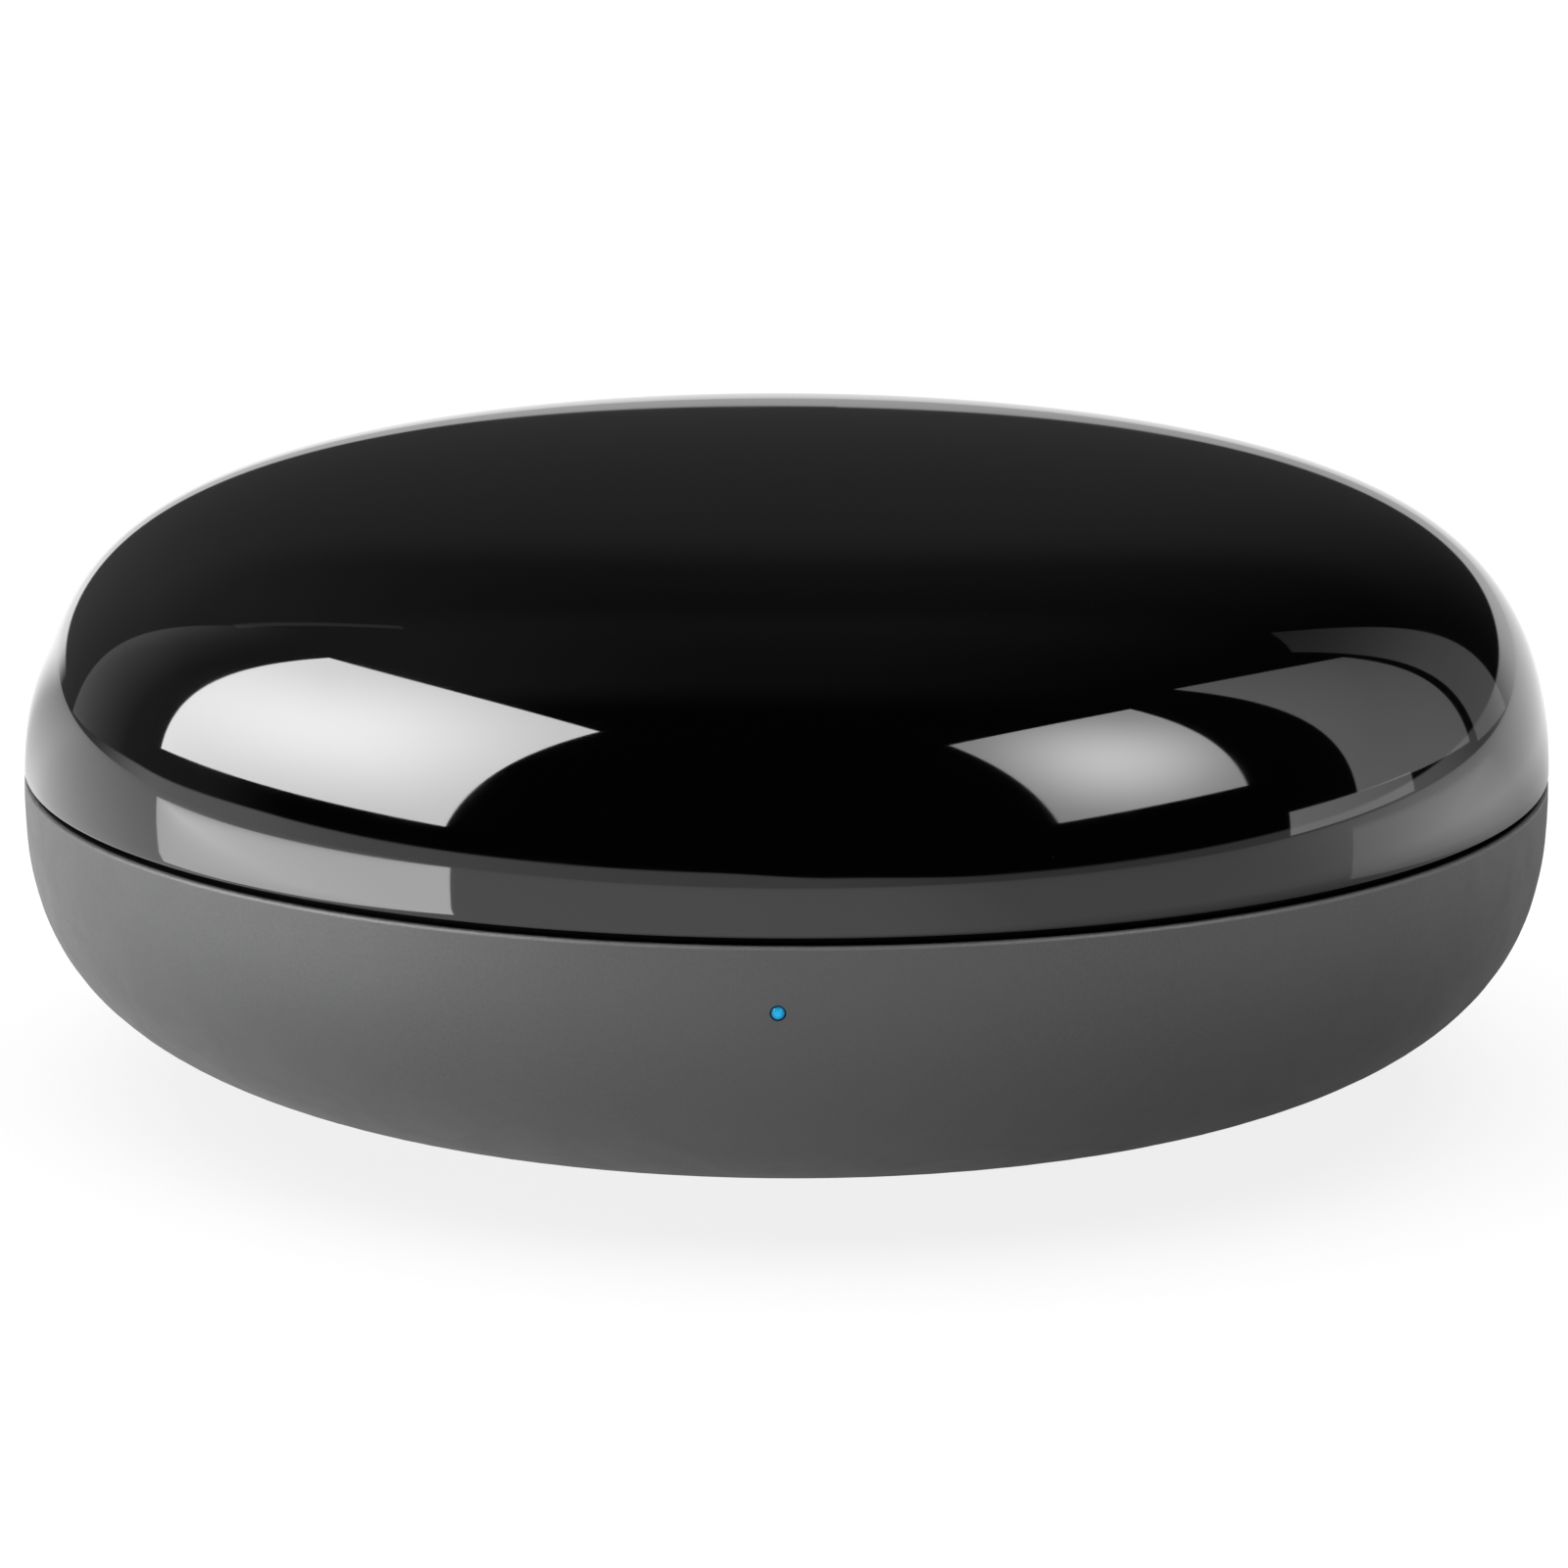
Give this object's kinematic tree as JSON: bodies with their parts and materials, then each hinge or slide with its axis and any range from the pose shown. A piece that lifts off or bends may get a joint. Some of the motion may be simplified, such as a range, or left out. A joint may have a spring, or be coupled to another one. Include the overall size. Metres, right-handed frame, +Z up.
{
  "type": "infrared remote-control hub",
  "caption": "Pebble-shaped hub: a gloss cover over a matt shell on rubber feet, with a small status light at the front, and a power socket and reset button in a bay at the rear.",
  "frame": {"origin": "on the table, under the middle of the four feet and of the round body", "axes": "+Z up; the status light faces -Y; the power socket and the reset button face +Y"},
  "size_m": [0.11, 0.11, 0.0462],
  "materials": {
    "cover_gloss": "high gloss, dyed so that infrared passes",
    "shell_matt": "fine matt texture",
    "foot_rubber": "matt",
    "label_film": "satin film, blank",
    "screw_steel": "zinc plated",
    "board_mask": "green solder mask over glass-fibre board",
    "tinned_metal": "tin plated",
    "contact_gold": "gold plated",
    "socket_insulator": "moulded",
    "key_plastic": "satin",
    "switch_plastic": "moulded",
    "plunger_plastic": "moulded, natural",
    "light_clear": "clear acrylic lit blue from inside",
    "led_package": "white reflector body",
    "emitter_epoxy": "water-clear epoxy with a faint blue tint",
    "receiver_epoxy": "visible-light-blocking epoxy",
    "chip_epoxy": "moulded",
    "radio_board_mask": "black solder mask",
    "coil_wire": "enamelled copper wire",
    "ferrite": "pressed ferrite, matt",
    "capacitor_can": "bright drawn can",
    "chip_ceramic": "fired ceramic"
  },
  "bodies": {
    "housing": {"top_cover": "cover_gloss", "bottom_shell": "shell_matt", "foot_1": "foot_rubber", "foot_2": "foot_rubber", "foot_3": "foot_rubber", "foot_4": "foot_rubber", "rating_label": "label_film", "housing_screws": "screw_steel", "board_screws": "screw_steel", "main_board": "board_mask", "usb_socket_shell": "tinned_metal", "usb_socket_tongue": "socket_insulator", "usb_socket_contacts": "contact_gold", "reset_switch_body": "switch_plastic", "reset_switch_frame": "tinned_metal", "light_pipe": "light_clear", "status_led": "led_package", "ir_emitter_1": "emitter_epoxy", "ir_emitter_2": "emitter_epoxy", "ir_emitter_3": "emitter_epoxy", "ir_emitter_4": "emitter_epoxy", "ir_emitter_5": "emitter_epoxy", "ir_emitter_6": "emitter_epoxy", "ir_emitter_7": "emitter_epoxy", "ir_emitter_leads": "tinned_metal", "ir_receiver": "receiver_epoxy", "ir_receiver_leads": "tinned_metal", "wifi_board": "radio_board_mask", "wifi_shield": "tinned_metal", "rf_shield": "tinned_metal", "rf_antenna_433": "coil_wire", "rf_antenna_315": "coil_wire", "microcontroller": "chip_epoxy", "microcontroller_pins": "tinned_metal", "flash_memory": "chip_epoxy", "voltage_regulator": "chip_epoxy", "power_inductor": "ferrite", "smoothing_capacitor": "capacitor_can", "smoothing_capacitor_base": "chip_epoxy", "crystal_can": "tinned_metal", "driver_transistors": "chip_epoxy", "chip_resistors": "chip_epoxy", "chip_capacitors": "chip_ceramic"},
    "reset_button": {"reset_key": "key_plastic", "reset_switch_plunger": "plunger_plastic"}
  },
  "joints": [
    {"name": "reset_button_press", "type": "slide", "parent": "housing", "child": "reset_button", "axis": [0, -1, 0], "range_m": [0, 0.0003], "stiffness_N_per_m": 400, "springref_m": -0.001}
  ]
}
